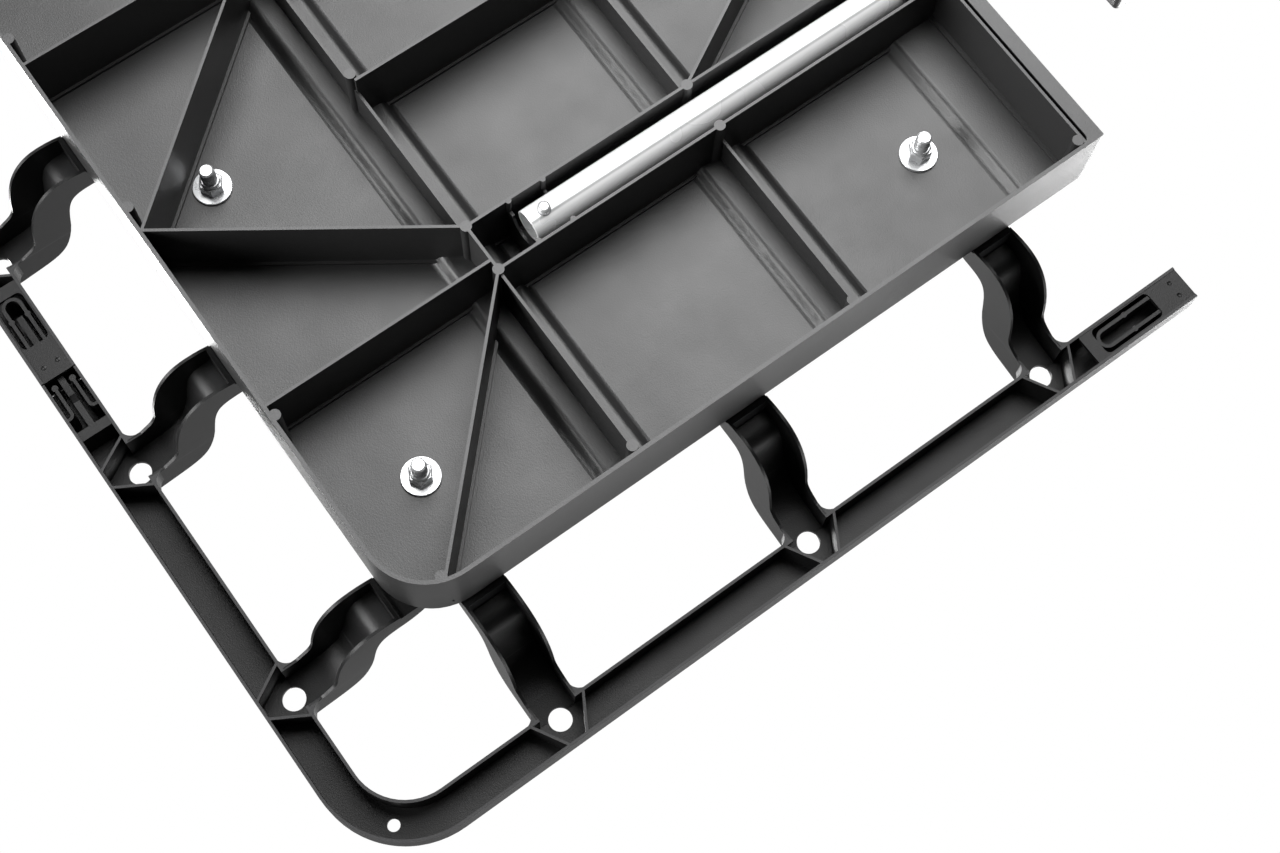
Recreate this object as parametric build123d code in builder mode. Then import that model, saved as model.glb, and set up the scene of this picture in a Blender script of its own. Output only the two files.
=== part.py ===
from build123d import *
from math import atan2, degrees, hypot
import os

# Hitch cargo carrier, millimetres.  X runs across the vehicle, +Y points to the rear (away from the
# vehicle), Z is up.  The origin is on the axis of the hitch pin hole, in the middle of the shank.
# Both halves of the carrier are the same mouldings; the right half is the left one turned by 180
# degrees about an upright axis through the middle of the platform.  Every shape is drawn in the place
# it has when the two halves are drawn apart.

# ---------------------------------------------------------------- driving dimensions
BASE_LENGTH = 530.0        # across the vehicle, one half
BASE_WIDTH = 604.0         # along the vehicle
BASE_DEPTH = 64.0          # skirt height
SKIRT = 2.6
FLOOR_W = 51.0             # underside of the floor, above the lower rim
PLATE = 4.5
RIM_LIP = 7.6              # lip round the tray on the top side
END_LIP = 14.4             # the same at the inner end
END_FLARE = 4.5
RIB = 1.9
LEDGE = 2.0                # step at the foot of the ribs
OUTER_CORNER = 42.0
INNER_CORNER = 7.0
CENTRE_Y = 600.0           # hitch pin to the middle of the platform
HALF_SPAN = 635.0          # centre plane to the outer skirt of the base, halves drawn apart
BAY_RIBS = (164.0, 335.0)  # ribs across the half, measured from the outer skirt
END_WALL = 512.5
RECESS = (15.0, 21.0)      # how far the middle of each bay rib stays back from the rim
SIDE_RIBS = (152.0, 428.0)
FAN_FOOT = 290.0           # where the two long diagonals meet the outer skirt
CHANNEL_AXIS = 161.7       # from the long edge
CHANNEL_PITCH = 34.6       # between the two channel ribs
PAD_W = 44.0               # underside of the raised pads that carry the bay ribs
PAD_HALF = 12.0
PAD_FOOT = 23.0
POST_D = 7.4
CHANNEL_POST_U = (164.0, 332.0)

BOLT_D = 9.5
BOLT_HOLE = 10.4
WASHER_D = 25.4
WASHER_T = 2.0
NUT_AF = 14.3

TUBE_D = 22.2
TUBE_WALL = 1.6
TUBE_AXIS_W = 13.0         # above the rim
TUBE_START = 198.0         # outer end of a tube, from the outer skirt
TUBE_INNER_X = 76.0        # inner end of a tube, from the centre plane
BUTTON_AT = 210.0
BUTTON_D = 8.4
BUTTON_OUT = 4.2
SLEEVE_D = 28.6
SLEEVE_BORE = 23.0
SLEEVE_LENGTH = 300.0

SHANK = 50.8
SHANK_WALL = 4.8
SHANK_REAR = 823.0
SHANK_FRONT = -40.0
PIN_D = 16.2

RAIL_OFFSET = 87.5         # rail centre line outside the base edge
RAIL_WIDTH = 26.0
RAIL_LIP = 122.0           # heights above the rim
RAIL_TOP = 149.0
RAIL_WALL = 2.0
RAIL_WEB = 3.6
RAIL_CORNER = 51.0         # centre line radius
RAIL_END = 565.0           # long-side rail end, from the outer skirt
SEAM = 294.0               # where the two rails of one half meet on the short side
SEAM_BAR = 53.0            # reach of the centre bar beyond the rail end, at the seam
END_BAR = 38.0             # and at the long-side ends
SEAM_WINDOW = 66.0         # inner end of the socket window, from the rail end
END_WINDOW = 77.0
FLANGE_T = 4.0
FLANGE_IN = 92.0
FLANGE_EDGE = 8.0
LEG_WIDTH = 31.0
LEG_WALL = 2.0
HOLE_OFFSET = 79.5
BOX_HOLE = 15.6
CORNER_HOLE = 8.4
CORNER_HOLE_OFFSET = 72.6

LEGS_LONG = (50.0, 250.0, 450.0)
LEGS_REAR_RAIL = (30.0, 214.5)
LEGS_FRONT_RAIL = (393.0, 574.0)
REAR_RAIL_BOLTS = ((58.0, 77.5), (443.5, 71.5))
FRONT_RAIL_BOLTS = ((58.5, 314.5), (58.0, 526.5), (443.5, 532.5))
BOLT_TIP_W = 25.5

# ---------------------------------------------------------------- derived values
HALF_WIDTH = BASE_WIDTH / 2
DECK_W = FLOOR_W + PLATE
FLANGE_W = DECK_W + FLANGE_T
RIB_TOP = FLOOR_W + 1.5
TRAY_END = BASE_LENGTH - END_LIP
RIM_Z = -TUBE_AXIS_W       # the tubes lie at the height of the hitch pin
TUBE_Z = 0.0
MIDDLE = Axis((0, CENTRE_Y, 0), (0, 0, 1))
CHANNELS = (CHANNEL_AXIS, BASE_WIDTH - CHANNEL_AXIS)
BOLTS = REAR_RAIL_BOLTS + FRONT_RAIL_BOLTS
RAIL_WEB_W = RAIL_TOP - RAIL_WEB


def px(u):
    """X of a distance from the outer skirt."""
    return u - HALF_SPAN


def py(v):
    """Y of a distance from the rear long edge."""
    return CENTRE_Y + HALF_WIDTH - v


def pz(w):
    """Z of a height above the lower rim."""
    return w + RIM_Z


def bar(p, q, thickness):
    """A rib of the given thickness between two points of the open sketch."""
    x0, y0 = px(p[0]), py(p[1])
    x1, y1 = px(q[0]), py(q[1])
    with Locations(((x0 + x1) / 2, (y0 + y1) / 2)):
        Rectangle(hypot(x1 - x0, y1 - y0), thickness, rotation=degrees(atan2(y1 - y0, x1 - x0)))


# ---------------------------------------------------------------- ribs of the base
def cross_ribs():
    """Ribs across the half with the height of their lower edge above the rim."""
    near, far = CHANNELS
    half = CHANNEL_PITCH / 2
    strips = ((0.5, near - half), (near + half, far - half), (far + half, BASE_WIDTH - 0.5))
    ribs = [(0.0, (END_WALL, v0), (END_WALL, v1)) for v0, v1 in strips]
    for v0, v1 in (strips[0], strips[2]):
        ribs.append((2.0, (BAY_RIBS[0], v0), (BAY_RIBS[0], v1)))
        ribs.append((RECESS[1], (BAY_RIBS[1], v0), (BAY_RIBS[1], v1)))
    for u, rim in zip(BAY_RIBS, RECESS):
        ribs.append((rim, (u, strips[1][0]), (u, strips[1][1])))
    return ribs


def long_ribs():
    """Channel walls, diagonals and the centre rib, all down to the rim."""
    near, far = CHANNELS
    half = CHANNEL_PITCH / 2
    first, second = BAY_RIBS
    ribs = []
    for axis in CHANNELS:
        ribs.append(((first, axis - half), (first, axis + half)))
        for side in (-half, half):
            ribs.append(((first, axis + side), (TRAY_END + 1, axis + side)))
    for v in SIDE_RIBS:
        ribs.append(((0.5, v), (first, v)))
    ribs.append(((2.6, FAN_FOOT), (first, near + half)))
    ribs.append(((2.6, FAN_FOOT), (first, far - half)))
    ribs.append(((28.0, 3.0), (first, near - half)))
    ribs.append(((28.0, BASE_WIDTH - 3.0), (first, far + half)))
    ribs.append(((first, HALF_WIDTH - 1), (second, HALF_WIDTH - 1)))
    ribs.append(((CHANNEL_POST_U[1], near + half), (END_WALL, HALF_WIDTH - 22)))
    ribs.append(((CHANNEL_POST_U[1], far - half), (END_WALL, HALF_WIDTH + 22)))
    return ribs


def base_posts():
    """Round posts down to the rim."""
    near, far = CHANNELS
    half = CHANNEL_PITCH / 2
    posts = []
    for v0, v1, v2 in ((6.5, near - half, near + half), (BASE_WIDTH - 6.5, far + half, far - half)):
        posts += [(28.0, v0), (END_WALL - 3, v0), (BAY_RIBS[0], v0)]
        posts += [(u, v) for u in CHANNEL_POST_U for v in (v1, v2)]
    posts += [(3.8, v) for v in (144.0, 308.0, 449.0)]
    posts += [(u, HALF_WIDTH + 4.5) for u in BAY_RIBS]
    return posts


def pad_section(u0, u1, slope, w0, w1):
    """Side view of a pad or of the groove above it: flat between u0 and u1 with soft slopes."""
    rise = Spline((px(u0 - slope), pz(w0)), (px(u0), pz(w1)), tangents=((1, 0), (1, 0)))
    fall = Spline((px(u1), pz(w1)), (px(u1 + slope), pz(w0)), tangents=((1, 0), (1, 0)))
    Line(rise @ 1, fall @ 0)
    Line(fall @ 1, rise @ 0)


PADS = [(u - PAD_HALF, u + PAD_HALF) for u in BAY_RIBS] + [(END_WALL - 30.5, END_WALL + 8)]

with BuildPart() as left_base:
    with BuildSketch(Plane.XY.offset(pz(0))):
        with Locations((px(BASE_LENGTH / 2), CENTRE_Y)):
            Rectangle(BASE_LENGTH, BASE_WIDTH)
        fillet(vertices().group_by(Axis.X)[0], OUTER_CORNER)
        fillet(vertices().group_by(Axis.X)[-1], INNER_CORNER)
    extrude(amount=BASE_DEPTH)
    fillet(faces().sort_by(Axis.Z)[-1].edges(), 5.0)
    # the end face leans back towards the rim
    with BuildSketch(Plane.XZ.offset(-py(-1))):
        with BuildLine():
            Polyline(
                (px(BASE_LENGTH - END_FLARE), pz(-1)),
                (px(BASE_LENGTH + 1), pz(-1)),
                (px(BASE_LENGTH + 1), pz(50)),
                (px(BASE_LENGTH), pz(50)),
                close=True,
            )
        make_face()
    extrude(amount=BASE_WIDTH + 2, mode=Mode.SUBTRACT)
    # hollow underside and the tray on top
    with BuildSketch(Plane.XY.offset(pz(0))):
        with Locations((px((SKIRT + TRAY_END) / 2), CENTRE_Y)):
            Rectangle(TRAY_END - SKIRT, BASE_WIDTH - 2 * SKIRT)
        fillet(vertices().group_by(Axis.X)[0], OUTER_CORNER - SKIRT)
        fillet(vertices().group_by(Axis.X)[-1], INNER_CORNER - SKIRT)
    extrude(amount=FLOOR_W, mode=Mode.SUBTRACT)
    with BuildSketch(Plane.XY.offset(pz(DECK_W))):
        with Locations((px((RIM_LIP + TRAY_END) / 2), CENTRE_Y)):
            Rectangle(TRAY_END - RIM_LIP, BASE_WIDTH - 2 * RIM_LIP)
        fillet(vertices().group_by(Axis.X)[0], OUTER_CORNER - RIM_LIP)
    extrude(amount=BASE_DEPTH, mode=Mode.SUBTRACT)
    # pads along the bay ribs and the end wall, then the ribs, their ledges and the posts
    for u0, u1 in PADS:
        with BuildSketch(Plane.XZ.offset(-py(SKIRT - 0.4))):
            with BuildLine():
                pad_section(u0, u1, PAD_FOOT - PAD_HALF, FLOOR_W + 0.05, PAD_W)
            make_face()
            with Locations((px(TRAY_END + 20.5), pz(FLOOR_W))):
                Rectangle(40, 40, mode=Mode.SUBTRACT)
        extrude(amount=BASE_WIDTH - 2 * SKIRT + 0.8)
    for rim, start, end in cross_ribs():
        with BuildSketch(Plane.XY.offset(pz(rim))):
            bar(start, end, RIB)
        extrude(amount=RIB_TOP - rim)
    with BuildSketch(Plane.XY.offset(pz(0))):
        for start, end in long_ribs():
            bar(start, end, RIB)
    extrude(amount=RIB_TOP)
    with BuildSketch(Plane.XY.offset(pz(FLOOR_W - 2.5))):
        for start, end in long_ribs():
            bar(start, end, RIB + 2 * LEDGE)
    extrude(amount=3.5)
    with BuildSketch(Plane.XY.offset(pz(PAD_W - 2.5))):
        bar((END_WALL - LEDGE, 3), (END_WALL - LEDGE, BASE_WIDTH - 3), RIB + 2)
    extrude(amount=5.0)
    with BuildSketch(Plane.XY.offset(pz(0))):
        with Locations(*[(px(u), py(v)) for u, v in base_posts()]):
            Circle(POST_D / 2)
    extrude(amount=RIB_TOP)
    with BuildSketch(Plane.XY.offset(pz(RECESS[1]))):
        with Locations(*[(px(BAY_RIBS[1]), py(v)) for v in (9.0, BASE_WIDTH - 9.0)]):
            Circle(POST_D / 2)
    extrude(amount=RIB_TOP - RECESS[1])
    # grooves of the deck above the pads
    for u0, u1 in PADS:
        with BuildSketch(Plane.XZ.offset(-py(RIM_LIP + 6))):
            with BuildLine():
                pad_section(u0 + 4, min(u1, END_WALL + 1) - 4, 7.0, DECK_W + 0.3, PAD_W + PLATE)
            make_face()
        extrude(amount=BASE_WIDTH - 2 * RIM_LIP - 12, mode=Mode.SUBTRACT)
    # saddles that rest on a tube in its channel, with bumps on the channel walls beside them
    slot = CHANNEL_PITCH - RIB
    for axis in CHANNELS:
        for u in (TUBE_START - 3.2, TUBE_START + 22.4):
            with BuildSketch(Plane.YZ.offset(px(u) - RIB / 2)):
                with Locations((py(axis), pz((TUBE_AXIS_W + RIB_TOP) / 2))):
                    Rectangle(CHANNEL_PITCH, RIB_TOP - TUBE_AXIS_W)
                with Locations((py(axis), pz(TUBE_AXIS_W))):
                    Circle(TUBE_D / 2 + 0.15, mode=Mode.SUBTRACT)
            extrude(amount=RIB)
            with BuildSketch(Plane.XY.offset(pz(0))):
                with Locations(*[(px(u), py(axis + side * slot / 2)) for side in (1, -1)]):
                    Circle(1.9)
            extrude(amount=TUBE_AXIS_W + 1)
        # way through the end wall for the tube and its sleeve
        with BuildSketch(Plane.YZ.offset(px(END_WALL) - 2 * RIB)):
            with Locations((py(axis), pz(TUBE_AXIS_W))):
                Circle(slot / 2)
            with Locations((py(axis), pz(TUBE_AXIS_W / 2 - 1))):
                Rectangle(slot, TUBE_AXIS_W + 2)
        extrude(amount=BASE_LENGTH - END_WALL + 3 * RIB, mode=Mode.SUBTRACT)
    with Locations(*[(px(u), py(v), pz(DECK_W)) for u, v in BOLTS]):
        Hole(BOLT_HOLE / 2, depth=PLATE + 2)
left_base.part.label = "left_base"

# ---------------------------------------------------------------- leg of a rail, in its own frame
# +X points away from the base edge, Z is measured from the rim.
LEG_TOP = (
    (-24, 72), (-4, 81.5), (8, 82), (15, 84.5), (20.5, 93), (25, 112), (31, 130), (42, 142), (58, 145.8), (77.5, 148.2),
)
LEG_BELLY = ((1.2, 62.5), (12, 60.6), (27, 62.5), (38, 71), (46.5, 87), (51, 105), (55.5, 117), (64, 122), (77.5, 122.5))
LEG_TOP_ENDS = ((1, 0.7), (1, 0.12))
LEG_FOOT = DECK_W + 0.6
LEG_SILL = BASE_DEPTH + 0.6


def leg_body_outline():
    """Side view of a leg: spline top edge, spline lower edge, foot reaching over the lip of the base."""
    upper = Spline(*LEG_TOP, tangents=LEG_TOP_ENDS)
    belly = Spline(*LEG_BELLY, tangents=((1, -0.3), (1, 0)))
    inner = -RIM_LIP - 0.2
    Polyline(
        upper @ 0,
        (LEG_TOP[0][0], LEG_FOOT),
        (inner, LEG_FOOT),
        (inner, LEG_SILL),
        (0.7, LEG_SILL),
        (0.7, LEG_BELLY[0][1]),
        belly @ 0,
    )
    Line(upper @ 1, belly @ 1)


def leg_core_outline(shift, drop):
    """Hollow of a leg, open downwards and towards the rail."""
    upper = Spline(*[(o + shift, w - drop) for o, w in LEG_TOP], tangents=LEG_TOP_ENDS)
    Polyline(upper @ 0, ((upper @ 0).X, 30), ((upper @ 1).X, 30), upper @ 1)


with BuildPart() as leg_body:
    with BuildSketch(Plane.XZ.offset(-LEG_WIDTH / 2)):
        with BuildLine():
            leg_body_outline()
        make_face()
    extrude(amount=LEG_WIDTH)
    with BuildSketch(Plane.XY.offset(RAIL_LIP)):
        inner = RAIL_OFFSET - RAIL_WIDTH / 2
        for side in (1, -1):
            with BuildLine():
                root = (inner + 0.5, side * (LEG_WIDTH / 2 - 0.5))
                along = (inner + 0.5, side * (LEG_WIDTH / 2 + 8.5))
                down = (inner - 8.5, side * (LEG_WIDTH / 2 - 0.5))
                Line(root, along)
                RadiusArc(along, down, side * 9.0)
                Line(down, root)
            make_face()
    extrude(amount=RAIL_TOP - RAIL_LIP - 11)

with BuildPart() as leg_core:
    with BuildSketch(Plane.XZ.offset(-LEG_WIDTH / 2 + LEG_WALL)):
        with BuildLine():
            leg_core_outline(2.6, 3.0)
        make_face()
        with Locations((-20, 60)):
            Rectangle(47.2, 120, mode=Mode.SUBTRACT)
    extrude(amount=LEG_WIDTH - 2 * LEG_WALL)

# divider ribs either side of a junction box
with BuildPart() as box_ribs:
    with BuildSketch(Plane.XY.offset(RAIL_LIP)):
        for side in (1, -1):
            with BuildLine():
                Polyline(
                    (75.0, side * 19.6),
                    (98.5, side * 6.0),
                    (98.5, side * 8.0),
                    (75.0, side * 21.6),
                    close=True,
                )
            make_face()
    extrude(amount=RAIL_TOP - RAIL_LIP - 1.5)

# ---------------------------------------------------------------- rail ends, in their own frame
# +X points out of the rail end, the end face is X = 0 and Z is measured from the rim.
INNER_WIDTH = RAIL_WIDTH - 2 * RAIL_WALL
END_PLATE = 27.0
CUP = 6.0                  # half the centre line width of the cup inside the window


def socket_part(window):
    """Socket of a rail end: plate with a window, and a cup in the window for the centre bar."""
    turn = -window + 1.4 + CUP
    with BuildPart() as socket:
        with BuildSketch(Plane.XY.offset(RAIL_LIP + 0.6)):
            with Locations((-(window + 9) / 2, 0)):
                Rectangle(window + 9, INNER_WIDTH + 1)
            with Locations((-(END_PLATE + window) / 2, 0)):
                RectangleRounded(window - END_PLATE, INNER_WIDTH - 2.0, 4.0, mode=Mode.SUBTRACT)
        extrude(amount=3.0)
        with Locations((-9.5, 5.2, RAIL_LIP - 1.1), (-9.5, -5.2, RAIL_LIP - 1.1)):
            Sphere(2.4, mode=Mode.SUBTRACT)
        with BuildSketch(Plane.XY.offset(RAIL_LIP + 1.6)):
            with BuildLine():
                Line((-END_PLATE + 1, CUP), (turn, CUP))
                ThreePointArc((turn, CUP), (turn - CUP, 0), (turn, -CUP))
                Line((turn, -CUP), (-END_PLATE + 1, -CUP))
            trace(line_width=2.4)
            with Locations((-49.5, CUP), (-49.5, -CUP)):
                Circle(2.0)
        extrude(amount=RAIL_WEB_W - RAIL_LIP - 1)
    return socket.part


def tongue_part(reach):
    """Tongue of a rail end: two short prongs hooked to the side walls and a bar between them."""
    with BuildPart() as tongue:
        with BuildSketch(Plane.XY.offset(RAIL_LIP + 0.8)):
            for side in (1, -1):
                with BuildLine():
                    Line((-6, side * 6.6), (-27, side * 6.6))
                    RadiusArc((-27, side * 6.6), (-30, side * 9.6), side * 3.0)
                    Line((-30, side * 9.6), (-30, side * 11.6))
                trace(line_width=2.2)
                with Locations((-6, side * 6.6)):
                    Circle(2.2)
        extrude(amount=RAIL_WEB_W - RAIL_LIP)
        # the bar is deeper behind the prongs and steps back to pass over the socket plate
        with BuildSketch(Plane.XZ.offset(-2.2)):
            with BuildLine():
                Polyline(
                    (-45, RAIL_LIP + 1.0),
                    (-22, RAIL_LIP + 1.0),
                    (-14, RAIL_LIP + 5.6),
                    (reach, RAIL_LIP + 5.6),
                    (reach, RAIL_LIP + 17.0),
                    (-6, RAIL_LIP + 17.0),
                    (-6, RAIL_WEB_W + 0.8),
                    (-45, RAIL_WEB_W + 0.8),
                    close=True,
                )
            make_face()
        extrude(amount=4.4)
        with BuildSketch(Plane.XY.offset(RAIL_LIP + 0.8)):
            with Locations((-44.5, 0)):
                Rectangle(7.0, INNER_WIDTH + 1)
        extrude(amount=RAIL_WEB_W - RAIL_LIP)
    return tongue.part


def side_place(u, v, angle):
    """Place of a feature on the base edge, turned so that its X points outwards."""
    return Location((px(u), py(v), RIM_Z), (0, 0, angle))


rear_legs = [side_place(u, 0, 90) for u in LEGS_LONG] + [side_place(0, v, 180) for v in LEGS_REAR_RAIL]
front_legs = [side_place(u, BASE_WIDTH, -90) for u in LEGS_LONG]
front_legs += [side_place(0, v, 180) for v in LEGS_FRONT_RAIL]


def flange_outline(rear):
    """Flat flange lying in the tray of the base, one of the two rails of a half."""
    edge = FLANGE_EDGE if rear else BASE_WIDTH - FLANGE_EDGE
    side = 1 if rear else -1
    seam = SEAM - side * 0.4
    with Locations((px((FLANGE_EDGE + TRAY_END - 0.5) / 2), py(edge + side * (FLANGE_IN - FLANGE_EDGE) / 2))):
        Rectangle(TRAY_END - 0.5 - FLANGE_EDGE, FLANGE_IN - FLANGE_EDGE)
    with Locations((px((FLANGE_EDGE + FLANGE_IN) / 2), py((edge + seam) / 2))):
        Rectangle(FLANGE_IN - FLANGE_EDGE, abs(seam - edge))
    corner = vertices().sort_by_distance((px(FLANGE_EDGE), py(edge), 0))[0]
    fillet(corner, OUTER_CORNER - FLANGE_EDGE)


def lip_clearance():
    """Frame-shaped outline round the tray, where the feet of the legs make room for the lip."""
    inner = RIM_LIP + 0.2
    with Locations((px(BASE_LENGTH / 2), CENTRE_Y)):
        Rectangle(BASE_LENGTH, BASE_WIDTH)
    with Locations((px((inner + BASE_LENGTH + 60) / 2), CENTRE_Y)):
        RectangleRounded(
            BASE_LENGTH + 60 - inner,
            BASE_WIDTH - 2 * inner,
            OUTER_CORNER - inner,
            mode=Mode.SUBTRACT,
        )


def rail_line(rear):
    """Centre line of one corner rail."""
    far = px(-RAIL_OFFSET)
    bend = px(-RAIL_OFFSET + RAIL_CORNER)
    side = 1 if rear else -1
    long_y = CENTRE_Y + side * (HALF_WIDTH + RAIL_OFFSET)
    bend_y = long_y - side * RAIL_CORNER
    seam_y = py(SEAM - 0.4) if rear else py(SEAM + 0.4)
    Line((px(RAIL_END), long_y), (bend, long_y))
    RadiusArc((bend, long_y), (far, bend_y), -side * RAIL_CORNER)
    Line((far, bend_y), (far, seam_y))


long_rear_end = Location((px(RAIL_END), py(-RAIL_OFFSET), RIM_Z), (0, 0, 0))
long_front_end = Location((px(RAIL_END), py(BASE_WIDTH + RAIL_OFFSET), RIM_Z), (0, 0, 0))
seam_of_rear = Location((px(-RAIL_OFFSET), py(SEAM - 0.4), RIM_Z), (0, 0, -90))
seam_of_front = Location((px(-RAIL_OFFSET), py(SEAM + 0.4), RIM_Z), (0, 0, 90))

# ---------------------------------------------------------------- rear corner rail of the left half
with BuildPart() as left_rear_rail:
    with BuildSketch(Plane.XY.offset(pz(RAIL_LIP))):
        with BuildLine():
            rail_line(True)
        trace(line_width=RAIL_WIDTH)
    extrude(amount=RAIL_TOP - RAIL_LIP)
    top = faces().sort_by(Axis.Z)[-1].edges().filter_by(lambda e: e.length > RAIL_WIDTH + 1)
    fillet(top, 8.0)
    with Locations(*rear_legs):
        add(leg_body.part)
    with BuildSketch(Plane.XY.offset(pz(DECK_W - 0.5))):
        lip_clearance()
    extrude(amount=LEG_SILL - DECK_W + 0.5, mode=Mode.SUBTRACT)
    with BuildSketch(Plane.XY.offset(pz(DECK_W))):
        flange_outline(True)
    extrude(amount=FLANGE_T)
    with BuildSketch(Plane.XY.offset(pz(RAIL_LIP))):
        with BuildLine():
            rail_line(True)
        trace(line_width=INNER_WIDTH)
    extrude(amount=RAIL_WEB_W - RAIL_LIP, mode=Mode.SUBTRACT)
    with Locations(*rear_legs):
        add(leg_core.part, mode=Mode.SUBTRACT)
    with Locations(*rear_legs):
        add(box_ribs.part)
    with Locations(long_rear_end):
        add(socket_part(END_WINDOW))
    with Locations(seam_of_rear):
        add(tongue_part(SEAM_BAR))
    with Locations(*[(px(u), py(-HOLE_OFFSET), pz(RAIL_TOP + 1)) for u in LEGS_LONG]):
        Hole(BOX_HOLE / 2, depth=9)
    with Locations(*[(px(-HOLE_OFFSET), py(v), pz(RAIL_TOP + 1)) for v in LEGS_REAR_RAIL]):
        Hole(BOX_HOLE / 2, depth=9)
    with Locations((px(-CORNER_HOLE_OFFSET), py(-CORNER_HOLE_OFFSET), pz(RAIL_TOP + 1))):
        Hole(CORNER_HOLE / 2, depth=9)
    with Locations(*[(px(u), py(v), pz(FLANGE_W)) for u, v in REAR_RAIL_BOLTS]):
        Hole(BOLT_HOLE / 2, depth=FLANGE_T + 1)
left_rear_rail.part.label = "left_rear_rail"

# ---------------------------------------------------------------- front corner rail of the left half
with BuildPart() as left_front_rail:
    with BuildSketch(Plane.XY.offset(pz(RAIL_LIP))):
        with BuildLine():
            rail_line(False)
        trace(line_width=RAIL_WIDTH)
    extrude(amount=RAIL_TOP - RAIL_LIP)
    top = faces().sort_by(Axis.Z)[-1].edges().filter_by(lambda e: e.length > RAIL_WIDTH + 1)
    fillet(top, 8.0)
    with Locations(*front_legs):
        add(leg_body.part)
    with BuildSketch(Plane.XY.offset(pz(DECK_W - 0.5))):
        lip_clearance()
    extrude(amount=LEG_SILL - DECK_W + 0.5, mode=Mode.SUBTRACT)
    with BuildSketch(Plane.XY.offset(pz(DECK_W))):
        flange_outline(False)
    extrude(amount=FLANGE_T)
    with BuildSketch(Plane.XY.offset(pz(RAIL_LIP))):
        with BuildLine():
            rail_line(False)
        trace(line_width=INNER_WIDTH)
    extrude(amount=RAIL_WEB_W - RAIL_LIP, mode=Mode.SUBTRACT)
    with Locations(*front_legs):
        add(leg_core.part, mode=Mode.SUBTRACT)
    with Locations(*front_legs):
        add(box_ribs.part)
    with Locations(seam_of_front):
        add(socket_part(SEAM_WINDOW))
    with Locations(long_front_end):
        add(tongue_part(END_BAR))
    with Locations(*[(px(u), py(BASE_WIDTH + HOLE_OFFSET), pz(RAIL_TOP + 1)) for u in LEGS_LONG]):
        Hole(BOX_HOLE / 2, depth=9)
    with Locations(*[(px(-HOLE_OFFSET), py(v), pz(RAIL_TOP + 1)) for v in LEGS_FRONT_RAIL]):
        Hole(BOX_HOLE / 2, depth=9)
    with Locations((px(-CORNER_HOLE_OFFSET), py(BASE_WIDTH + CORNER_HOLE_OFFSET), pz(RAIL_TOP + 1))):
        Hole(CORNER_HOLE / 2, depth=9)
    with Locations(*[(px(u), py(v), pz(FLANGE_W)) for u, v in FRONT_RAIL_BOLTS]):
        Hole(BOLT_HOLE / 2, depth=FLANGE_T + 1)
left_front_rail.part.label = "left_front_rail"

# ---------------------------------------------------------------- tube, snap button and its spring
TUBE_LENGTH = HALF_SPAN - TUBE_START - TUBE_INNER_X
REAR_TUBE_Y = py(CHANNELS[0])
FRONT_TUBE_Y = py(CHANNELS[1])

with BuildPart() as tube:
    with BuildSketch(Plane.YZ.offset(px(TUBE_START))):
        with Locations((REAR_TUBE_Y, TUBE_Z)):
            Circle(TUBE_D / 2)
            Circle(TUBE_D / 2 - TUBE_WALL, mode=Mode.SUBTRACT)
    extrude(amount=TUBE_LENGTH)
    chamfer(edges().filter_by(GeomType.CIRCLE), 0.4)
    with BuildSketch(Plane.XY.offset(TUBE_Z - TUBE_D)):
        with Locations((px(BUTTON_AT), REAR_TUBE_Y)):
            Circle(BUTTON_D / 2 + 0.25)
    extrude(amount=TUBE_D, mode=Mode.SUBTRACT)

BUTTON_FOOT = 8.0
with BuildPart() as button:
    with BuildSketch(Plane.XY.offset(TUBE_Z - TUBE_D / 2 - BUTTON_OUT)):
        with Locations((px(BUTTON_AT), REAR_TUBE_Y)):
            Circle(BUTTON_D / 2)
    extrude(amount=TUBE_D / 2 + BUTTON_OUT - BUTTON_FOOT)
    fillet(faces().sort_by(Axis.Z)[0].edges(), 2.2)

SPRING_T = 0.9
with BuildPart() as spring:
    with BuildSketch(Plane.XZ.offset(-REAR_TUBE_Y - 3)):
        with BuildLine():
            x0 = px(BUTTON_AT)
            low = TUBE_Z - BUTTON_FOOT + SPRING_T / 2
            high = TUBE_Z + TUBE_D / 2 - TUBE_WALL - 1.1
            bend = 3.0
            lower = Line((x0 - 4.5, low), (x0 + 6.0, low))
            slope = Line(lower @ 1, (x0 + 50.0, TUBE_Z - bend))
            turn = ThreePointArc(slope @ 1, (x0 + 50.0 + bend, TUBE_Z), (x0 + 50.0, TUBE_Z + bend))
            back = Line(turn @ 1, (x0 + 6.0, high))
            Line(back @ 1, (x0 - 4.5, high))
        trace(line_width=SPRING_T)
    extrude(amount=6.0)

# ---------------------------------------------------------------- fasteners of the left half
with BuildPart() as left_bolts:
    flange_top = pz(FLANGE_W)
    with BuildSketch(Plane.XY.offset(pz(BOLT_TIP_W))):
        with Locations(*[(px(u), py(v)) for u, v in BOLTS]):
            Circle(BOLT_D / 2)
    extrude(amount=FLANGE_W - BOLT_TIP_W)
    chamfer(edges().group_by(Axis.Z)[0], 1.0)
    with BuildSketch(Plane.XY.offset(flange_top)):
        with Locations(*[(px(u), py(v)) for u, v in BOLTS]):
            Circle(10.5)
    extrude(amount=5.0)
    fillet(edges().group_by(Axis.Z)[-1], 3.6)
left_bolts.part.label = "left_bolts"

with BuildPart() as left_washers:
    with BuildSketch(Plane.XY.offset(pz(FLOOR_W) - WASHER_T)):
        with Locations(*[(px(u), py(v)) for u, v in BOLTS]):
            Circle(WASHER_D / 2)
            Circle(BOLT_D / 2 + 0.35, mode=Mode.SUBTRACT)
    extrude(amount=WASHER_T)
    chamfer(edges().filter_by(GeomType.CIRCLE).group_by(Axis.Z)[0], 0.3)
left_washers.part.label = "left_washers"

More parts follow.
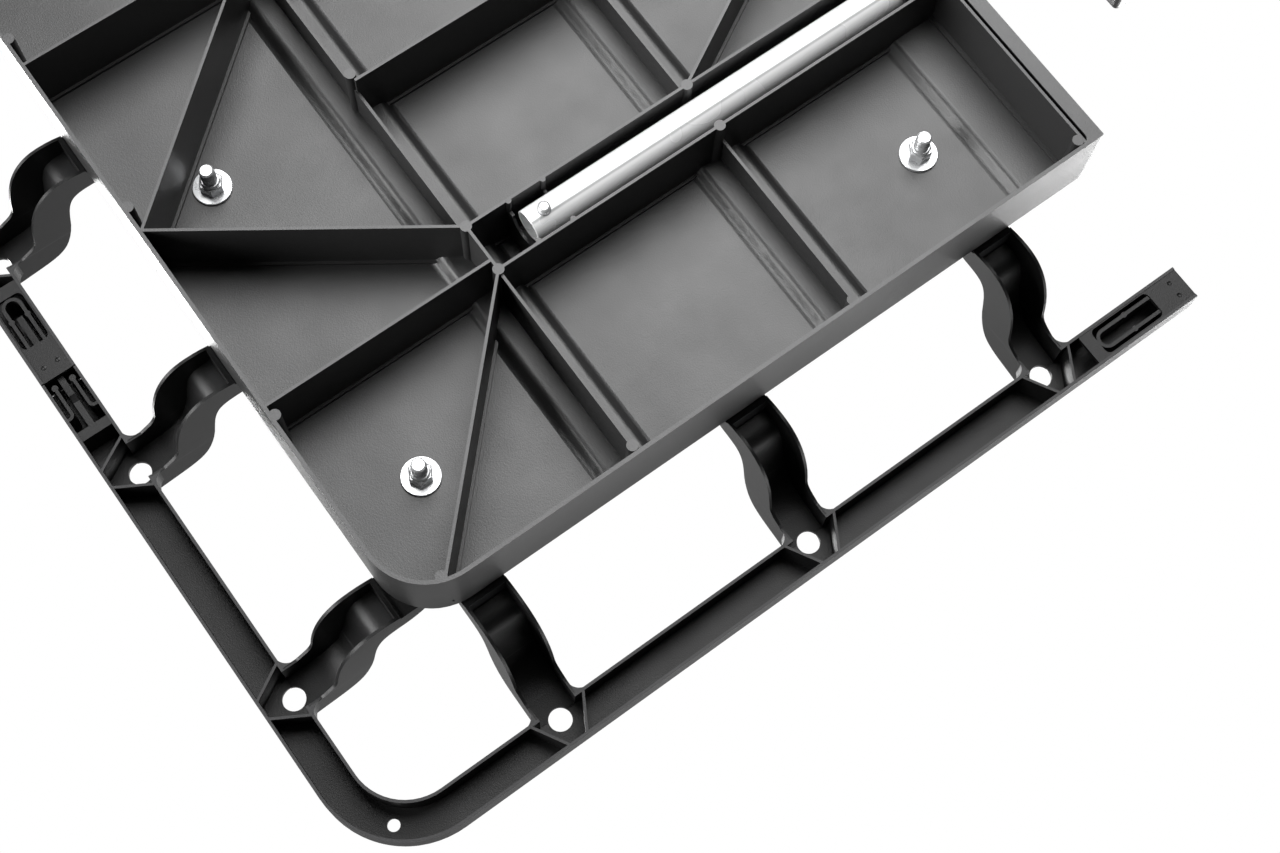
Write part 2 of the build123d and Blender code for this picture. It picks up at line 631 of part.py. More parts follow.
with BuildPart() as left_locknuts:
    with BuildSketch(Plane.XY.offset(pz(FLOOR_W) - WASHER_T - 7.5)):
        with Locations(*[(px(u), py(v)) for u, v in BOLTS]):
            RegularPolygon(NUT_AF / 2, 6, major_radius=False)
            Circle(BOLT_D / 2 + 0.02, mode=Mode.SUBTRACT)
    extrude(amount=7.5)
    chamfer(edges().filter_by(GeomType.LINE).group_by(Axis.Z)[0], 0.8)
    with BuildSketch(Plane.XY.offset(pz(FLOOR_W) - WASHER_T - 7.5)):
        with Locations(*[(px(u), py(v)) for u, v in BOLTS]):
            Circle(6.3)
            Circle(BOLT_D / 2 + 0.02, mode=Mode.SUBTRACT)
    extrude(amount=-2.8)
    fillet(edges().group_by(Axis.Z)[0].filter_by(lambda e: e.length > 35), 1.0)
left_locknuts.part.label = "left_locknuts"

# ---------------------------------------------------------------- hitch frame
with BuildPart() as hitch_shank:
    with BuildSketch(Plane.XZ.offset(-SHANK_REAR)):
        with Locations((0, 0)):
            RectangleRounded(SHANK, SHANK, 6.0)
            RectangleRounded(SHANK - 2 * SHANK_WALL, SHANK - 2 * SHANK_WALL, 2.0, mode=Mode.SUBTRACT)
    extrude(amount=SHANK_REAR - SHANK_FRONT)
    with BuildSketch(Plane.YZ.offset(-SHANK)):
        with Locations((REAR_TUBE_Y, TUBE_Z), (FRONT_TUBE_Y, TUBE_Z)):
            Circle(SLEEVE_D / 2 + 0.15)
        with Locations((0, 0)):
            Circle(PIN_D / 2)
    extrude(amount=2 * SHANK, mode=Mode.SUBTRACT)
hitch_shank.part.label = "hitch_shank"

with BuildPart() as rear_sleeve:
    with BuildSketch(Plane.YZ.offset(-SLEEVE_LENGTH / 2)):
        with Locations((REAR_TUBE_Y, TUBE_Z)):
            Circle(SLEEVE_D / 2)
            Circle(SLEEVE_BORE / 2, mode=Mode.SUBTRACT)
    extrude(amount=SLEEVE_LENGTH)
    chamfer(edges().filter_by(GeomType.CIRCLE), 0.7)
rear_sleeve.part.label = "rear_sleeve"

with BuildPart() as front_sleeve:
    add(rear_sleeve.part.moved(Location((0, FRONT_TUBE_Y - REAR_TUBE_Y, 0))))
front_sleeve.part.label = "front_sleeve"

WELD = 4.0
with BuildPart() as sleeve_welds:
    for y in (REAR_TUBE_Y, FRONT_TUBE_Y):
        with BuildSketch(Plane(origin=(0, y, TUBE_Z), x_dir=(1, 0, 0), z_dir=(0, -1, 0))):
            for side in (1, -1):
                with BuildLine():
                    Polyline(
                        (side * SHANK / 2, SLEEVE_D / 2),
                        (side * (SHANK / 2 + WELD), SLEEVE_D / 2),
                        (side * (SHANK / 2 + WELD * 0.55), SLEEVE_D / 2 + WELD * 0.55),
                        (side * SHANK / 2, SLEEVE_D / 2 + WELD),
                        close=True,
                    )
                make_face()
        revolve(axis=Axis((0, y, TUBE_Z), (1, 0, 0)))
sleeve_welds.part.label = "sleeve_welds"

GUSSET_LONG = 46.0
GUSSET_OUT = 7.6
GUSSET_T = 5.0
with BuildPart() as gussets:
    with BuildSketch(Plane.XY.offset(TUBE_Z - GUSSET_T / 2)):
        for y in (REAR_TUBE_Y, FRONT_TUBE_Y):
            for sx in (1, -1):
                for sy in (1, -1):
                    with BuildLine():
                        Polyline(
                            (sx * SHANK / 2, y + sy * (SLEEVE_D / 2 + WELD + 0.2)),
                            (sx * (SHANK / 2 + 5), y + sy * (SLEEVE_D / 2)),
                            (sx * (SHANK / 2 + GUSSET_OUT), y + sy * (SLEEVE_D / 2)),
                            (sx * (SHANK / 2 + GUSSET_OUT), y + sy * (SLEEVE_D / 2 + 5)),
                            (sx * (SHANK / 2 + 5), y + sy * (SLEEVE_D / 2 + GUSSET_LONG)),
                            (sx * SHANK / 2, y + sy * (SLEEVE_D / 2 + GUSSET_LONG)),
                            close=True,
                        )
                    make_face()
    extrude(amount=GUSSET_T)
gussets.part.label = "gussets"

CAP_HEAD = 5.0
with BuildPart() as shank_end_cap:
    with BuildSketch(Plane.XZ.offset(-SHANK_REAR)):
        with Locations((0, 0)):
            RectangleRounded(SHANK, SHANK, 6.0)
    extrude(amount=-CAP_HEAD)
    fillet(faces().sort_by(Axis.Y)[-1].edges(), 3.0)
    plug = SHANK - 2 * SHANK_WALL - 0.4
    with BuildSketch(Plane.XZ.offset(-SHANK_REAR)):
        with Locations((0, 0)):
            RectangleRounded(plug, plug, 2.5)
            RectangleRounded(plug - 5, plug - 5, 1.5, mode=Mode.SUBTRACT)
    extrude(amount=24.0)
shank_end_cap.part.label = "shank_end_cap"

# ---------------------------------------------------------------- the right half and export
os.makedirs("parts", exist_ok=True)

for half, name in ((left_base, "base"), (left_bolts, "bolts"), (left_washers, "washers")):
    with BuildPart() as right_half:
        add(half.part.rotate(MIDDLE, 180))
    right_half.part.label = "right_" + name
    export_step(half.part, "parts/left_" + name + ".step")
    export_step(right_half.part, "parts/right_" + name + ".step")

with BuildPart() as right_locknuts:
    add(left_locknuts.part.rotate(MIDDLE, 180))
right_locknuts.part.label = "right_locknuts"
export_step(left_locknuts.part, "parts/left_locknuts.step")
export_step(right_locknuts.part, "parts/right_locknuts.step")

with BuildPart() as right_front_rail:
    add(left_rear_rail.part.rotate(MIDDLE, 180))
right_front_rail.part.label = "right_front_rail"
with BuildPart() as right_rear_rail:
    add(left_front_rail.part.rotate(MIDDLE, 180))
right_rear_rail.part.label = "right_rear_rail"
export_step(left_rear_rail.part, "parts/left_rear_rail.step")
export_step(left_front_rail.part, "parts/left_front_rail.step")
export_step(right_front_rail.part, "parts/right_front_rail.step")
export_step(right_rear_rail.part, "parts/right_rear_rail.step")

to_front = Location((0, FRONT_TUBE_Y - REAR_TUBE_Y, 0))
for piece, name in ((tube, "tube"), (button, "button"), (spring, "spring")):
    with BuildPart() as left_rear:
        add(piece.part)
    left_rear.part.label = "left_rear_" + name
    export_step(left_rear.part, "parts/left_rear_" + name + ".step")
    with BuildPart() as left_front:
        add(piece.part.moved(to_front))
    left_front.part.label = "left_front_" + name
    export_step(left_front.part, "parts/left_front_" + name + ".step")
    with BuildPart() as right_front:
        add(piece.part.rotate(MIDDLE, 180))
    right_front.part.label = "right_front_" + name
    export_step(right_front.part, "parts/right_front_" + name + ".step")
    with BuildPart() as right_rear:
        add(left_front.part.rotate(MIDDLE, 180))
    right_rear.part.label = "right_rear_" + name
    export_step(right_rear.part, "parts/right_rear_" + name + ".step")

export_step(hitch_shank.part, "parts/hitch_shank.step")
export_step(rear_sleeve.part, "parts/rear_sleeve.step")
export_step(front_sleeve.part, "parts/front_sleeve.step")
export_step(sleeve_welds.part, "parts/sleeve_welds.step")
export_step(gussets.part, "parts/gussets.step")
export_step(shank_end_cap.part, "parts/shank_end_cap.step")
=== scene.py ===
import math

import bmesh
import bpy
from mathutils import Matrix, Vector


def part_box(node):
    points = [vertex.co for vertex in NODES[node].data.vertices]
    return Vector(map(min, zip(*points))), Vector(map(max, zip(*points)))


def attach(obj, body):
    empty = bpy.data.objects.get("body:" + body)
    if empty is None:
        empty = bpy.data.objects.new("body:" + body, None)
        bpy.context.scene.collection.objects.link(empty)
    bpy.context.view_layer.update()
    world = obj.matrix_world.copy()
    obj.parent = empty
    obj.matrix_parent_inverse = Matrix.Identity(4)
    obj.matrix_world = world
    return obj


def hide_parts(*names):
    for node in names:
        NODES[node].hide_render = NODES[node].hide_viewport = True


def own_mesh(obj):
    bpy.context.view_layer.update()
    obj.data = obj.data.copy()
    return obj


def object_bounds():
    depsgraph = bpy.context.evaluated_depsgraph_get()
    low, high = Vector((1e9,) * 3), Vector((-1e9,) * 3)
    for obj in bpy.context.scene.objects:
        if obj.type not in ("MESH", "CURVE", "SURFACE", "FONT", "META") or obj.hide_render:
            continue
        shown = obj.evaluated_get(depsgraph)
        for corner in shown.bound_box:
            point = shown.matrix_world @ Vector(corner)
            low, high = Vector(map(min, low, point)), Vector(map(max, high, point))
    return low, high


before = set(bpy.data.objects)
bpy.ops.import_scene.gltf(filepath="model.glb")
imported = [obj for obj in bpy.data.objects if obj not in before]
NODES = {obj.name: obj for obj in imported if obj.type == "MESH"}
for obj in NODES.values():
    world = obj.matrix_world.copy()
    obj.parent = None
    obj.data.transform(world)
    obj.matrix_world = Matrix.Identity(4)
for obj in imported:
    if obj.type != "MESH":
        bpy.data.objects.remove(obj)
CAD_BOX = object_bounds()

# ---------------------------------------------------------------- scene constants, metres
CAMERA_AT = Vector((-0.7079, 1.1642, -1.1122))
CAMERA_TARGET = Vector((-0.4464, 0.8729, 0.05))
CAMERA_UP = Vector((0.551, -0.772, -0.317))
CAMERA_LENS = 55.24

FLOOR_DROP = 0.0005
FLOOR_SIZE = 6.5
FLOOR_FADE = (0.43, 0.8)

lowest, highest = CAD_BOX
MIDDLE = (lowest + highest) / 2
BASE_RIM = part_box("left_base")[0][2]
RAIL_DEPTH = 0.027
RAIL_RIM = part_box("left_rear_rail")[1][2] - RAIL_DEPTH


# ---------------------------------------------------------------- node helpers
class Graph:
    """A material's node tree with short ways to add and join nodes."""

    def __init__(self, name):
        self.material = bpy.data.materials.new(name)
        self.material.use_nodes = True
        self.tree = self.material.node_tree
        self.shader = self.tree.nodes["Principled BSDF"]
        self.place = self.add("ShaderNodeTexCoord").outputs["Object"]

    def add(self, kind, **settings):
        node = self.tree.nodes.new(kind)
        for key, value in settings.items():
            setattr(node, key, value)
        return node

    def join(self, source, target):
        self.tree.links.new(source, target)

    def stretch(self, x, y, z):
        node = self.add("ShaderNodeVectorMath", operation="MULTIPLY")
        self.join(self.place, node.inputs[0])
        node.inputs[1].default_value = (x, y, z)
        return node.outputs[0]

    def noise(self, scale, detail=3.0, rough=0.5, where=None, distortion=0.0):
        node = self.add("ShaderNodeTexNoise")
        node.inputs["Scale"].default_value = scale
        node.inputs["Detail"].default_value = detail
        node.inputs["Roughness"].default_value = rough
        node.inputs["Distortion"].default_value = distortion
        self.join(where or self.place, node.inputs["Vector"])
        return node.outputs["Fac"]

    def cells(self, scale, feature="F1"):
        node = self.add("ShaderNodeTexVoronoi", feature=feature)
        node.inputs["Scale"].default_value = scale
        self.join(self.place, node.inputs["Vector"])
        return node.outputs["Distance"]

    def ramp(self, source, *stops):
        """Colour ramp from (position, colour) stops; a colour may be one grey value."""
        node = self.add("ShaderNodeValToRGB")
        node.color_ramp.elements[0].position = stops[0][0]
        node.color_ramp.elements[1].position = stops[-1][0]
        while len(node.color_ramp.elements) < len(stops):
            node.color_ramp.elements.new(stops[len(node.color_ramp.elements) - 1][0])
        for element, (position, colour) in zip(node.color_ramp.elements, stops):
            element.position = position
            grey = colour if hasattr(colour, "__len__") else (colour, colour, colour)
            element.color = (*grey, 1.0)
        self.join(source, node.inputs["Fac"])
        return node.outputs["Color"]

    def math(self, operation, a, b=None, clamp=False):
        node = self.add("ShaderNodeMath", operation=operation, use_clamp=clamp)
        for socket, value in zip(node.inputs, (a, b)):
            if value is None:
                continue
            if isinstance(value, (int, float)):
                socket.default_value = value
            else:
                self.join(value, socket)
        return node.outputs[0]

    def near_height(self, height, reach):
        """1 where the object's own Z is within reach of a height, else 0."""
        split = self.add("ShaderNodeSeparateXYZ")
        self.join(self.place, split.inputs[0])
        away = self.math("ABSOLUTE", self.math("SUBTRACT", split.outputs["Z"], height))
        return self.math("LESS_THAN", away, reach)

    def mix(self, factor, a, b):
        node = self.add("ShaderNodeMix", data_type="RGBA")
        for name, value in (("Factor", factor), ("A", a), ("B", b)):
            socket = [s for s in node.inputs if s.name == name and s.enabled][0]
            if isinstance(value, (int, float)):
                socket.default_value = value
            elif isinstance(value, tuple):
                socket.default_value = (*value, 1.0)
            else:
                self.join(value, socket)
        return [s for s in node.outputs if s.enabled][0]

    def bump(self, height, distance, strength=1.0, under=None):
        node = self.add("ShaderNodeBump")
        node.inputs["Strength"].default_value = strength
        node.inputs["Distance"].default_value = distance
        self.join(height, node.inputs["Height"])
        if under is not None:
            self.join(under, node.inputs["Normal"])
        return node.outputs["Normal"]

    def finish(self, colour, rough, normal, metallic=0.0, specular=0.5, coat=0.0):
        self.join(colour, self.shader.inputs["Base Color"])
        self.join(rough, self.shader.inputs["Roughness"])
        self.join(normal, self.shader.inputs["Normal"])
        self.shader.inputs["Metallic"].default_value = metallic
        self.shader.inputs["Specular IOR Level"].default_value = specular
        self.shader.inputs["Coat Weight"].default_value = coat
        return self.material


# ---------------------------------------------------------------- materials
# painted highlight: how near in height a face must be to a rim, and the paler colour painted
# there
RIM_HIGHLIGHT_REACH = 0.0005
RIM_HIGHLIGHT_COLOUR = (0.032, 0.032, 0.033)
SEAM_ASIDE = 0.0036      # the tube's seam from its axis, along Y
SEAM_BELOW = -0.004      # the seam is drawn only below this height
SEAM_SCALE = 600.0


def moulded_plastic(name, dark, light, grain, gloss, highlight_rim=None, shine=0.85):
    """Black moulded plastic: spark-eroded grain, faint flow clouds, paler scuffs, and a painted
    highlight on the rims.
    """
    g = Graph(name)
    clouds = g.noise(5.0, 4.0, 0.55, distortion=0.6)
    speckle = g.noise(2600.0, 2.0, 0.7)
    base = g.ramp(clouds, (0.25, dark), (0.75, light))
    colour = g.mix(g.math("MULTIPLY", speckle, 0.2), base, tuple(1.8 * c for c in light))
    scuff = g.noise(38.0, 6.0, 0.75, where=g.stretch(1.0, 3.5, 1.0))
    colour = g.mix(g.ramp(scuff, (0.66, 0.0), (0.9, 0.08)), colour, (0.05, 0.05, 0.052))
    # painted highlight: everything within reach of the rim's height is turned paler, like a lit
    # edge
    if highlight_rim is not None:
        colour = g.mix(g.near_height(highlight_rim, RIM_HIGHLIGHT_REACH), colour, RIM_HIGHLIGHT_COLOUR)
    rough = g.ramp(g.noise(24.0, 3.0, 0.6), (0.3, gloss), (0.7, gloss + 0.05))
    fine = g.bump(g.noise(1500.0 * grain, 3.0, 0.65), 0.00012, 0.7)
    normal = g.bump(g.cells(900.0 * grain), 0.00008, 0.6, under=fine)
    return g.finish(colour, rough, normal, specular=shine)


def zinc(name, tint, streak, rough_low, grain=(14.0, 900.0, 900.0)):
    """Bright zinc plate: drawn streaks, thin milky passivation, fine pits."""
    g = Graph(name)
    drawn = g.noise(1.0, 4.0, 0.6, where=g.stretch(*grain))
    clouds = g.noise(45.0, 3.0, 0.5)
    colour = g.ramp(clouds, (0.3, tuple(0.95 * c for c in tint)), (0.7, tint))
    colour = g.mix(g.math("MULTIPLY", drawn, streak), colour, tuple(0.80 * c for c in tint))
    rough = g.ramp(g.noise(120.0, 3.0, 0.5), (0.3, rough_low), (0.75, rough_low + 0.08))
    normal = g.bump(drawn, 0.00001, 0.15)
    return g.finish(colour, rough, normal, metallic=0.6)


def zinc_tube(name, axis_y):
    """Zinc tube with the soft grey band of its welded seam, low on one side."""
    g = Graph(name)
    drawn = g.noise(1.0, 2.0, 0.5, where=g.stretch(2.0, 420.0, 420.0))
    colour = g.ramp(drawn, (0.35, (0.90, 0.905, 0.91)), (0.65, (0.95, 0.953, 0.955)))
    split = g.add("ShaderNodeSeparateXYZ")
    g.join(g.place, split.inputs[0])
    away = g.math("ABSOLUTE", g.math("SUBTRACT", split.outputs["Y"], axis_y + SEAM_ASIDE))
    line = g.ramp(g.math("MULTIPLY", away, SEAM_SCALE), (0.18, 1.0), (0.78, 0.0))
    low = g.math("LESS_THAN", split.outputs["Z"], SEAM_BELOW)
    colour = g.mix(g.math("MULTIPLY", line, low), colour, (0.50, 0.505, 0.51))
    rough = g.ramp(g.noise(20.0, 2.0), (0.3, 0.25), (0.75, 0.29))
    normal = g.bump(drawn, 0.000006, 0.1)
    return g.finish(colour, rough, normal, metallic=0.2)


def powder_coat(name):
    """Black powder coat with orange peel and a few dull rubbed patches."""
    g = Graph(name)
    colour = g.ramp(g.noise(9.0, 4.0), (0.3, (0.018, 0.018, 0.019)), (0.7, (0.034, 0.034, 0.036)))
    rub = g.ramp(g.noise(70.0, 6.0, 0.8), (0.66, 0.0), (0.82, 0.35))
    colour = g.mix(rub, colour, (0.09, 0.09, 0.092))
    rough = g.ramp(g.noise(40.0, 3.0), (0.3, 0.34), (0.7, 0.5))
    normal = g.bump(g.noise(700.0, 2.0, 0.5), 0.00025, 0.5)
    normal = g.bump(g.cells(260.0), 0.0002, 0.35, under=normal)
    return g.finish(colour, rough, normal, specular=0.5, coat=0.15)


def weld_bead(name):
    """Coated weld bead: overlapping ripples round the sleeve."""
    g = Graph(name)
    colour = g.ramp(g.noise(120.0, 4.0), (0.3, (0.022, 0.022, 0.023)), (0.7, (0.05, 0.05, 0.052)))
    rough = g.ramp(g.noise(300.0, 3.0), (0.3, 0.36), (0.7, 0.55))
    normal = g.bump(g.cells(420.0), 0.0007, 0.8)
    return g.finish(colour, rough, normal)


def spring_steel(name):
    """Blued spring strip with lengthwise rolling marks."""
    g = Graph(name)
    rolled = g.noise(1.0, 3.0, 0.6, where=g.stretch(30.0, 2400.0, 60.0))
    colour = g.ramp(rolled, (0.3, (0.16, 0.17, 0.20)), (0.7, (0.32, 0.34, 0.38)))
    rough = g.ramp(g.noise(200.0, 3.0), (0.3, 0.26), (0.7, 0.42))
    return g.finish(colour, rough, g.bump(rolled, 0.00003, 0.6), metallic=1.0)


# base and rail mouldings both get the painted highlight along their rims
BASE = moulded_plastic(
    "base_moulding", (0.012, 0.012, 0.0122), (0.017, 0.017, 0.0172),
    grain=1.0, gloss=0.43, highlight_rim=BASE_RIM,
)
# painted shade: the same black plastic made darker than the base, standing in for the shadow deep
# in the rails' narrow channels
RAIL = moulded_plastic(
    "rail_moulding_painted_shade", (0.006, 0.006, 0.0062), (0.009, 0.009, 0.0092),
    grain=1.2, gloss=0.42, highlight_rim=RAIL_RIM, shine=0.35,
)
CAP = moulded_plastic(
    "cap_moulding", (0.010, 0.010, 0.010), (0.016, 0.016, 0.016), grain=1.4, gloss=0.38
)
HARDWARE = zinc("zinc_hardware", (0.70, 0.71, 0.72), 0.10, 0.24, grain=(300.0, 300.0, 300.0))
BUTTON = zinc("button_zinc", (0.84, 0.85, 0.86), 0.06, 0.20, grain=(400.0, 400.0, 400.0))
COAT = powder_coat("black_coat")
BEAD = weld_bead("coated_weld")
SPRING = spring_steel("spring_strip")


def paint(node, material):
    mesh = NODES[node].data
    mesh.materials.clear()
    mesh.materials.append(material)


def paint_frame():
    for side in ("left", "right"):
        paint(side + "_base", BASE)
        for kind in ("bolts", "washers", "locknuts"):
            paint(side + "_" + kind, HARDWARE)
        for end in ("rear", "front"):
            paint(f"{side}_{end}_rail", RAIL)
            low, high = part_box(f"{side}_{end}_tube")
            material = zinc_tube(f"zinc_tube_{side}_{end}", (low[1] + high[1]) / 2)
            paint(f"{side}_{end}_tube", material)
            paint(f"{side}_{end}_button", BUTTON)
            paint(f"{side}_{end}_spring", SPRING)
    for node in ("hitch_shank", "rear_sleeve", "front_sleeve", "gussets"):
        paint(node, COAT)
    paint("sleeve_welds", BEAD)
    paint("shank_end_cap", CAP)


paint_frame()


# ---------------------------------------------------------------- swept pieces
def swept(name, runs, material, body):
    """One mesh from runs of closed rings; each run is a solid with a flat face at both ends."""
    verts = []
    faces = []
    for rings in runs:
        first = len(verts)
        size = len(rings[0])
        for ring in rings:
            verts.extend(ring)
        for k in range(len(rings) - 1):
            for j in range(size):
                a = first + size * k + j
                b = first + size * k + (j + 1) % size
                faces.append((a, a + size, b + size, b))
        last = len(verts) - size
        faces.append(tuple(range(first, first + size)))
        faces.append(tuple(reversed(range(last, last + size))))
    mesh = bpy.data.meshes.new(name)
    mesh.from_pydata(verts, [], faces)
    work = bmesh.new()
    work.from_mesh(mesh)
    bmesh.ops.recalc_face_normals(work, faces=work.faces)
    work.to_mesh(mesh)
    work.free()
    mesh.materials.append(material)
    piece = bpy.data.objects.new(name, mesh)
    bpy.context.scene.collection.objects.link(piece)
    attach(piece, body)
    return piece


# ---------------------------------------------------------------- bolt threads
THREAD_PITCH = 0.0015875
THREAD_TURN_STEPS = 28
THREAD_RUN_OUT = 14.0    # steps over which the ridge rises and dies away
THREAD_ROOT = -0.0002    # from the bolt's surface, along its radius
THREAD_CREST = 0.00024
THREAD_FLANK = 0.00062   # half the ridge's height at its root
THREAD_FROM_TIP = 0.0014
THREAD_FROM_NUT = 0.0002
BOLT_RADIUS = 0.00475
SAME_HEIGHT = 0.0001
SAME_BOLT = 0.02


def helix(centre, bottom, top):
    """Points of one thread ridge: a three-sided strip wound up the bolt."""
    rings = []
    steps = int((top - bottom) / THREAD_PITCH * THREAD_TURN_STEPS)
    for k in range(steps + 1):
        turn = 2 * math.pi * k / THREAD_TURN_STEPS
        rise = bottom + THREAD_PITCH * k / THREAD_TURN_STEPS
        taper = min(1.0, k / THREAD_RUN_OUT, (steps - k) / THREAD_RUN_OUT)
        ridge = (
            (THREAD_ROOT, -THREAD_FLANK),
            (THREAD_CREST * taper, 0.0),
            (THREAD_ROOT, THREAD_FLANK),
        )
        ring = []
        for out, up in ridge:
            radius = BOLT_RADIUS + out
            ring.append((
                centre[0] + radius * math.cos(turn),
                centre[1] + radius * math.sin(turn),
                rise + up,
            ))
        rings.append(ring)
    return rings


def bolt_tips(side):
    """Middle of each bolt's tip face: the node's lowest points, grouped by place."""
    bolts = NODES[side + "_bolts"]
    points = [bolts.matrix_world @ vertex.co for vertex in bolts.data.vertices]
    lowest_point = min(point.z for point in points)
    groups = []
    for point in points:
        if point.z > lowest_point + SAME_HEIGHT:
            continue
        for group in groups:
            if (group[0] - point).length < SAME_BOLT:
                group.append(point)
                break
        else:
            groups.append([point])
    return [
        [(min(p[i] for p in group) + max(p[i] for p in group)) / 2 for i in range(3)]
        for group in groups
    ]


def thread_piece(side):
    """Rolled threads on the bare ends of one half's bolts."""
    nut_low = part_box(side + "_locknuts")[0][2]
    runs = [
        helix(tip, tip[2] + THREAD_FROM_TIP, nut_low - THREAD_FROM_NUT) for tip in bolt_tips(side)
    ]
    piece = swept(side + "_threads", runs, HARDWARE, side + "_half")
    for polygon in piece.data.polygons:
        polygon.use_smooth = True


for half in ("left", "right"):
    thread_piece(half)


# ---------------------------------------------------------------- springs behind the snap buttons
STRIP_THICK = 0.0009
STRIP_CORNER = 0.00018
STRIP_FOOT = 0.0105
STRIP_BEND = 0.003
STRIP_BEND_STEPS = 16


def strip_path(reach, low, middle, high):
    """Middle line of the V strip: (distance from its foot, height) points."""
    turn_at = reach - STRIP_BEND
    path = [(0.0, low), (STRIP_FOOT / 2, low), (STRIP_FOOT, low)]
    for k in range(STRIP_BEND_STEPS + 1):
        turn = math.pi * (k / STRIP_BEND_STEPS - 0.5)
        path.append((turn_at + STRIP_BEND * math.cos(turn), middle + STRIP_BEND * math.sin(turn)))
    path += [(STRIP_FOOT, high), (STRIP_FOOT / 2, high), (0.0, high)]
    return path


def strip_rings(path, foot_x, away, middle_y, width):
    """Rings of the strip's rounded section along its middle line; away is 1 or -1 along X."""
    w, t, c = width / 2, STRIP_THICK / 2, STRIP_CORNER
    section = [
        (-w + c, -t), (w - c, -t), (w, -t + c), (w, t - c),
        (w - c, t), (-w + c, t), (-w, t - c), (-w, -t + c),
    ]
    rings = []
    for k, (along, height) in enumerate(path):
        before = path[max(k - 1, 0)]
        after = path[min(k + 1, len(path) - 1)]
        run, rise = after[0] - before[0], after[1] - before[1]
        length = math.hypot(run, rise)
        rings.append([
            (
                foot_x + away * (along - out * rise / length),
                middle_y + across,
                height + out * run / length,
            )
            for across, out in section
        ])
    return rings


def spring_piece(side, end):
    """V spring that squeezes together as its snap button is pressed in."""
    node = f"{side}_{end}_spring"
    low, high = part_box(node)
    tube_low, tube_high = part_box(f"{side}_{end}_tube")
    away = 1.0 if side == "left" else -1.0
    foot_x = low[0] if side == "left" else high[0]
    reach = high[0] - low[0] - STRIP_THICK / 2
    path = strip_path(
        reach,
        low[2] + STRIP_THICK / 2,
        (tube_low[2] + tube_high[2]) / 2,
        high[2] - STRIP_THICK / 2,
    )
    middle_y = (low[1] + high[1]) / 2
    rings = strip_rings(path, foot_x, away, middle_y, high[1] - low[1])
    piece = swept(node + "_strip", [rings], SPRING, side + "_half")
    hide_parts(node)
    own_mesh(piece)


for half in ("left", "right"):
    for half_end in ("rear", "front"):
        spring_piece(half, half_end)


# ---------------------------------------------------------------- floor, light and camera
def floor_material():
    """Pale floor, clear from underneath, that fades out towards its edge."""
    g = Graph("studio_floor")
    colour = g.ramp(g.noise(2.0, 3.0), (0.3, 0.86), (0.7, 0.88))
    rough = g.ramp(g.noise(6.0, 2.0), (0.3, 0.72), (0.7, 0.80))
    g.finish(colour, rough, g.bump(g.noise(300.0), 0.0001, 0.1), specular=0.2)
    clear = g.add("ShaderNodeBsdfTransparent")
    side = g.add("ShaderNodeNewGeometry")
    choose = g.add("ShaderNodeMixShader")
    out = g.tree.nodes["Material Output"]
    away = g.add("ShaderNodeVectorMath", operation="LENGTH")
    g.join(g.place, away.inputs[0])
    share = g.math("DIVIDE", away.outputs["Value"], FLOOR_SIZE / 2)
    fade = g.ramp(share, (FLOOR_FADE[0], 0.0), (FLOOR_FADE[1], 1.0))
    g.join(g.math("MAXIMUM", fade, side.outputs["Backfacing"]), choose.inputs[0])
    g.join(g.shader.outputs[0], choose.inputs[1])
    g.join(clear.outputs[0], choose.inputs[2])
    g.join(choose.outputs[0], out.inputs["Surface"])
    return g.material


def make_floor():
    mesh = bpy.data.meshes.new("floor")
    half = FLOOR_SIZE / 2
    corners = [(-half, -half, 0), (half, -half, 0), (half, half, 0), (-half, half, 0)]
    mesh.from_pydata(corners, [], [(0, 1, 2, 3)])
    mesh.materials.append(floor_material())
    floor = bpy.data.objects.new("floor", mesh)
    floor.location = (MIDDLE.x, MIDDLE.y, lowest.z - FLOOR_DROP)
    bpy.context.scene.collection.objects.link(floor)
    floor.visible_shadow = False
    floor.visible_diffuse = False
    floor.visible_glossy = False


# name, place, point it faces, diameter, watts
LIGHTS = (
    ("under_key", (0.45, -0.2, -2.4), (-0.2, 0.55, 0.0), 2.4, 100.0),
    ("under_side", (-2.6, 0.15, -0.95), (-0.4, 0.8, 0.0), 1.8, 85.0),
    ("top_key", (-1.6, -1.4, 2.6), (0.0, 0.5, 0.0), 2.0, 190.0),
    ("top_fill", (2.2, 1.6, 2.2), (0.0, 0.5, 0.0), 2.4, 110.0),
    ("top_back", (0.2, 3.2, 1.4), (0.0, 0.6, 0.0), 2.0, 40.0),
)


def area_light(name, place, target, size, watts):
    light = bpy.data.lights.new(name, "AREA")
    light.shape = "DISK"
    light.size = size
    light.energy = watts
    lamp = bpy.data.objects.new(name, light)
    lamp.location = place
    lamp.rotation_euler = (Vector(target) - Vector(place)).to_track_quat("-Z", "Y").to_euler()
    lamp.visible_camera = False
    bpy.context.scene.collection.objects.link(lamp)


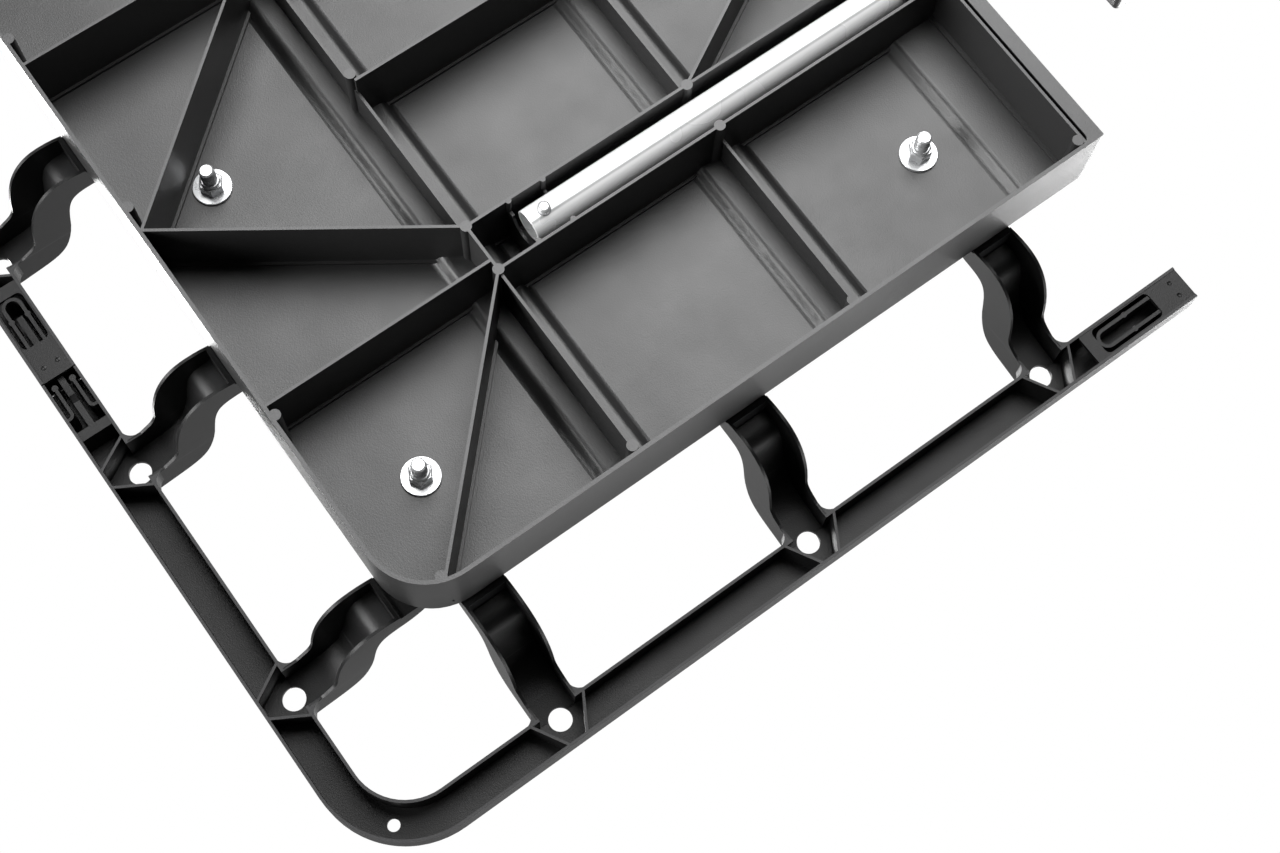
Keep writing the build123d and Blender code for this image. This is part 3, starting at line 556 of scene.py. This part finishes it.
# brightness of the room by height of the direction looked in, from dim below to pale above
ROOM_LEVELS = {"From Min": -0.2, "From Max": 0.5, "To Min": 0.03, "To Max": 0.40}


def make_world():
    """White to the camera; to everything else a pale room above and a dim one below."""
    world = bpy.data.worlds.new("studio")
    bpy.context.scene.world = world
    world.use_nodes = True
    tree = world.node_tree
    room = tree.nodes["Background"]
    room.inputs["Color"].default_value = (1.0, 1.0, 1.0, 1.0)
    place = tree.nodes.new("ShaderNodeTexCoord")
    split = tree.nodes.new("ShaderNodeSeparateXYZ")
    level = tree.nodes.new("ShaderNodeMapRange")
    for name, value in ROOM_LEVELS.items():
        level.inputs[name].default_value = value
    tree.links.new(place.outputs["Generated"], split.inputs[0])
    tree.links.new(split.outputs["Z"], level.inputs["Value"])
    tree.links.new(level.outputs["Result"], room.inputs["Strength"])
    white = tree.nodes.new("ShaderNodeBackground")
    white.inputs["Color"].default_value = (1.0, 1.0, 1.0, 1.0)
    white.inputs["Strength"].default_value = 1.0
    path = tree.nodes.new("ShaderNodeLightPath")
    choose = tree.nodes.new("ShaderNodeMixShader")
    tree.links.new(path.outputs["Is Camera Ray"], choose.inputs[0])
    tree.links.new(room.outputs[0], choose.inputs[1])
    tree.links.new(white.outputs[0], choose.inputs[2])
    tree.links.new(choose.outputs[0], tree.nodes["World Output"].inputs["Surface"])


def make_camera():
    data = bpy.data.cameras.new("camera")
    data.sensor_fit = "HORIZONTAL"
    data.sensor_width = 36.0
    data.lens = CAMERA_LENS
    data.clip_start = 0.01
    camera = bpy.data.objects.new("camera", data)
    bpy.context.scene.collection.objects.link(camera)
    back = (CAMERA_AT - CAMERA_TARGET).normalized()
    right = CAMERA_UP.cross(back).normalized()
    up = back.cross(right)
    turn = Matrix((right, up, back)).transposed().to_4x4()
    camera.matrix_world = Matrix.Translation(CAMERA_AT) @ turn
    bpy.context.scene.camera = camera


make_floor()
make_world()
for row in LIGHTS:
    area_light(*row)
make_camera()
bpy.context.scene.view_settings.view_transform = "Standard"
